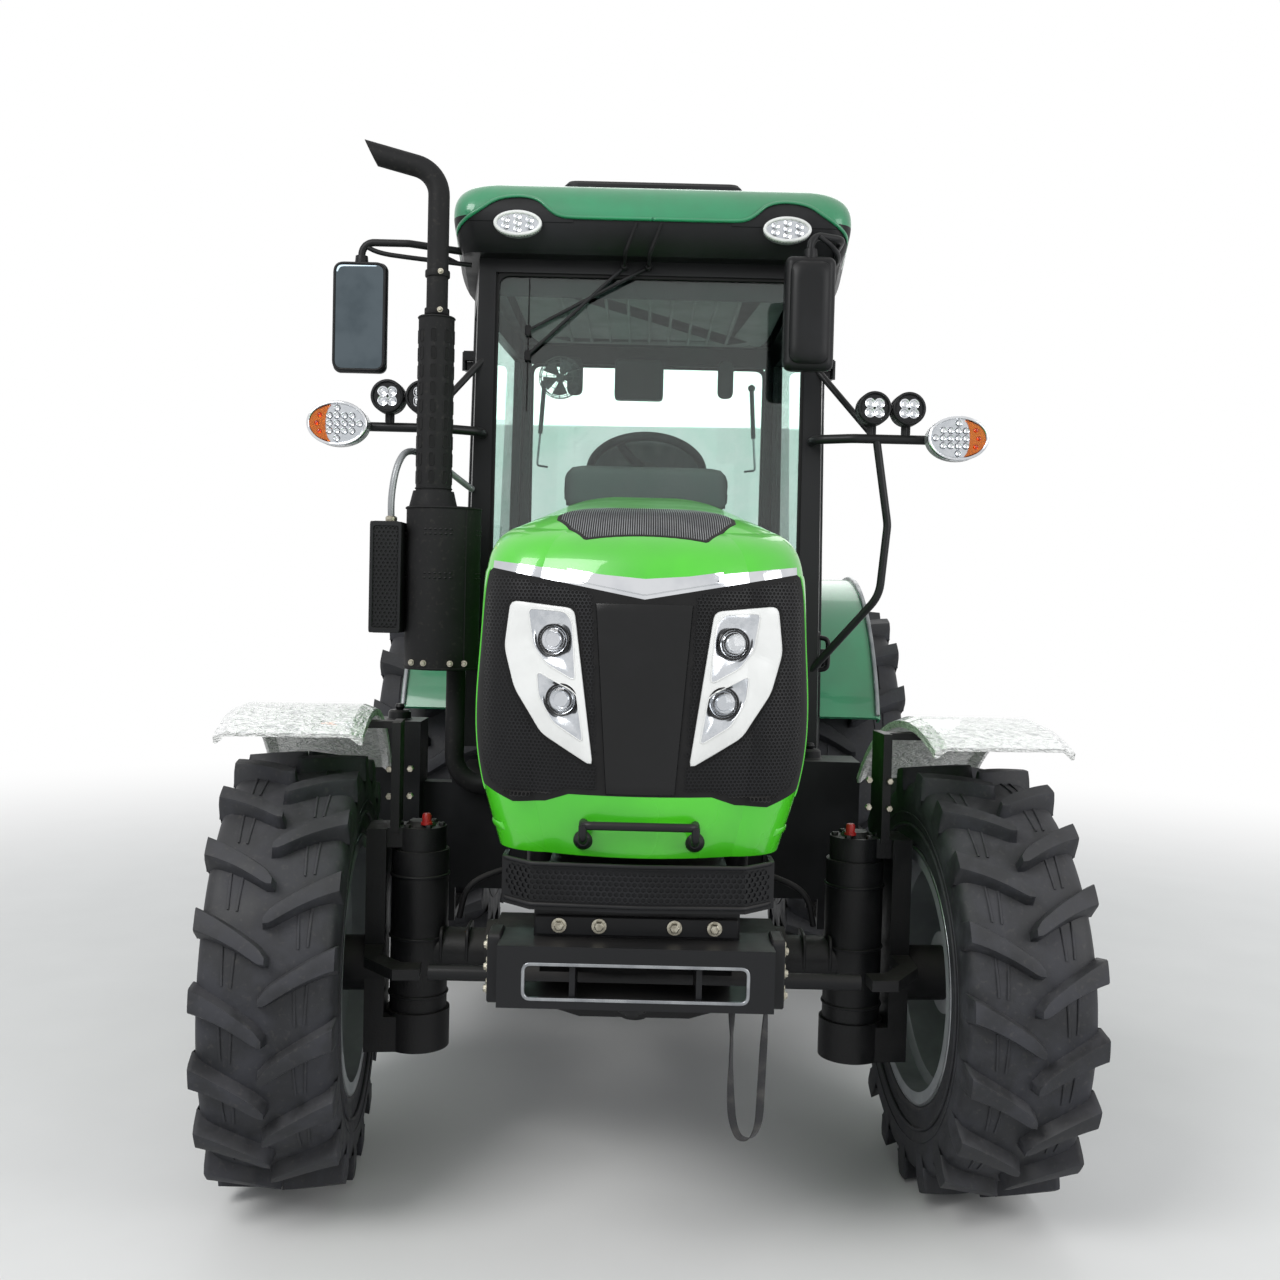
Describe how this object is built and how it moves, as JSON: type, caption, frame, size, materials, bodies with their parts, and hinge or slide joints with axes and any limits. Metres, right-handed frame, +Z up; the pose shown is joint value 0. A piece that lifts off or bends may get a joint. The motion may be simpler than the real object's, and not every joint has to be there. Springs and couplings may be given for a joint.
{
  "type": "farm tractor",
  "caption": "Farm tractor with a glazed cab, tilting bonnet, steered and driven front axle, upright exhaust and a rear three-point linkage.",
  "frame": {"origin": "on the ground at the middle of the tractor's length and width", "axes": "the tractor faces -Y, +X is the driver's left and +Z is up"},
  "size_m": [2.164, 4.0999, 2.8894],
  "materials": {
    "hood_green": "gloss",
    "cab_green": "gloss",
    "black_paint": "satin",
    "black_plastic": "matte",
    "casting": "painted",
    "steel": "satin",
    "chrome": "polished",
    "rim_silver": "satin",
    "tyre": "matte",
    "glass": "gloss",
    "lamp": "gloss",
    "film": "satin",
    "seat_cloth": "matte",
    "webbing": "matte"
  },
  "bodies": {
    "chassis": {"engine_block": "casting", "gearbox_housing": "casting", "front_frame": "casting", "front_axle_beam": "casting", "front_carrier": "black_paint", "nose_skirt": "black_plastic", "bulkhead": "black_paint", "cab_frame": "black_paint", "cab_rear": "black_paint", "rear_lamps": "lamp", "cab_glass": "glass", "cab_roof": "cab_green", "roof_band": "black_plastic", "roof_lamps": "lamp", "mirrors": "black_plastic", "lamp_bars": "black_paint", "side_lamps": "lamp", "wiper": "black_plastic", "seat": "seat_cloth", "console": "black_plastic", "side_tanks": "black_plastic", "rear_fenders": "cab_green", "exhaust": "black_paint", "drawbar": "black_paint", "strap": "webbing"},
    "hood": {"hood_shell": "hood_green", "hood_grille": "black_plastic", "hood_trim": "chrome", "headlamps": "lamp", "hood_handle": "black_paint"},
    "door_left": {"door_left": "black_paint", "door_glass_left": "glass"},
    "door_right": {"door_right": "black_paint", "door_glass_right": "glass"},
    "roof_hatch": {"roof_hatch": "black_plastic"},
    "knuckle_left": {"knuckle_left": "casting", "mudguard_left": "film"},
    "knuckle_right": {"knuckle_right": "casting", "mudguard_right": "film"},
    "wheel_front_left": {"front_wheel_left": "rim_silver", "front_tyre_left": "tyre"},
    "wheel_front_right": {"front_wheel_right": "rim_silver", "front_tyre_right": "tyre"},
    "wheel_rear_left": {"rear_wheel_left": "rim_silver", "rear_tyre_left": "tyre"},
    "wheel_rear_right": {"rear_wheel_right": "rim_silver", "rear_tyre_right": "tyre"},
    "steering_rod": {"steering_rod": "chrome"},
    "lower_links": {"lower_links": "black_paint"},
    "lift_arms": {"lift_arms": "black_paint"},
    "lift_rods": {"lift_rods": "steel"},
    "top_link": {"top_link": "steel"}
  },
  "joints": [
    {"name": "rear_wheel_left_spin", "type": "hinge", "parent": "chassis", "child": "wheel_rear_left", "pos_m": [0.82, 0.95, 0.738], "axis": [1, 0, 0], "continuous": true},
    {"name": "rear_wheel_right_spin", "type": "hinge", "parent": "chassis", "child": "wheel_rear_right", "pos_m": [-0.82, 0.95, 0.738], "axis": [1, 0, 0], "continuous": true},
    {"name": "steer_left", "type": "hinge", "parent": "chassis", "child": "knuckle_left", "pos_m": [0.565, -1.35, 0.545], "axis": [0, 0, 1], "range_deg": [-40, 30]},
    {"name": "steer_right", "type": "hinge", "parent": "chassis", "child": "knuckle_right", "pos_m": [-0.565, -1.35, 0.545], "axis": [0, 0, 1], "range_deg": [-40, 30]},
    {"name": "steering_rod_slide", "type": "slide", "parent": "chassis", "child": "steering_rod", "axis": [1, 0, 0], "range_m": [-0.173, 0.13]},
    {"name": "front_wheel_left_spin", "type": "hinge", "parent": "knuckle_left", "child": "wheel_front_left", "pos_m": [0.86386, -1.32385, 0.545], "axis": [0.9962, 0.0872, 0], "continuous": true},
    {"name": "front_wheel_right_spin", "type": "hinge", "parent": "knuckle_right", "child": "wheel_front_right", "pos_m": [-0.86386, -1.37615, 0.545], "axis": [0.9962, 0.0872, 0], "continuous": true},
    {"name": "hood_lift", "type": "hinge", "parent": "chassis", "child": "hood", "pos_m": [0, -0.462, 1.752], "axis": [-1, 0, 0], "range_deg": [0, 55]},
    {"name": "door_left_swing", "type": "hinge", "parent": "chassis", "child": "door_left", "pos_m": [0.684, 0.152, 1.8], "axis": [0, 0, 1], "range_deg": [0, 75]},
    {"name": "door_right_swing", "type": "hinge", "parent": "chassis", "child": "door_right", "pos_m": [-0.684, 0.152, 1.8], "axis": [0, 0, -1], "range_deg": [0, 75]},
    {"name": "roof_hatch_lift", "type": "hinge", "parent": "chassis", "child": "roof_hatch", "pos_m": [0, 0.344, 2.869], "axis": [-1, 0, 0], "range_deg": [0, 40]},
    {"name": "lower_links_lift", "type": "hinge", "parent": "chassis", "child": "lower_links", "pos_m": [0, 1.1, 0.56], "axis": [1, 0, 0], "range_deg": [-8, 26]},
    {"name": "lift_arms_turn", "type": "hinge", "parent": "chassis", "child": "lift_arms", "pos_m": [0, 1.135, 0.88], "axis": [1, 0, 0], "range_deg": [-11, 36]},
    {"name": "lift_rods_turn", "type": "hinge", "parent": "lift_arms", "child": "lift_rods", "pos_m": [0, 1.47371, 0.85037], "axis": [1, 0, 0], "range_deg": [-34.5, 11]},
    {"name": "top_link_swing", "type": "hinge", "parent": "chassis", "child": "top_link", "pos_m": [0, 1.235, 0.79], "axis": [1, 0, 0], "range_deg": [-15, 50]}
  ],
  "couplings": [
    {"joint": "steer_right", "follows": "steer_left", "ratio": 1},
    {"joint": "steering_rod_slide", "follows": "steer_left", "m_per_rad": 0.245},
    {"joint": "lift_arms_turn", "follows": "lower_links_lift", "ratio": 1.354},
    {"joint": "lift_rods_turn", "follows": "lower_links_lift", "ratio": -1.292}
  ]
}
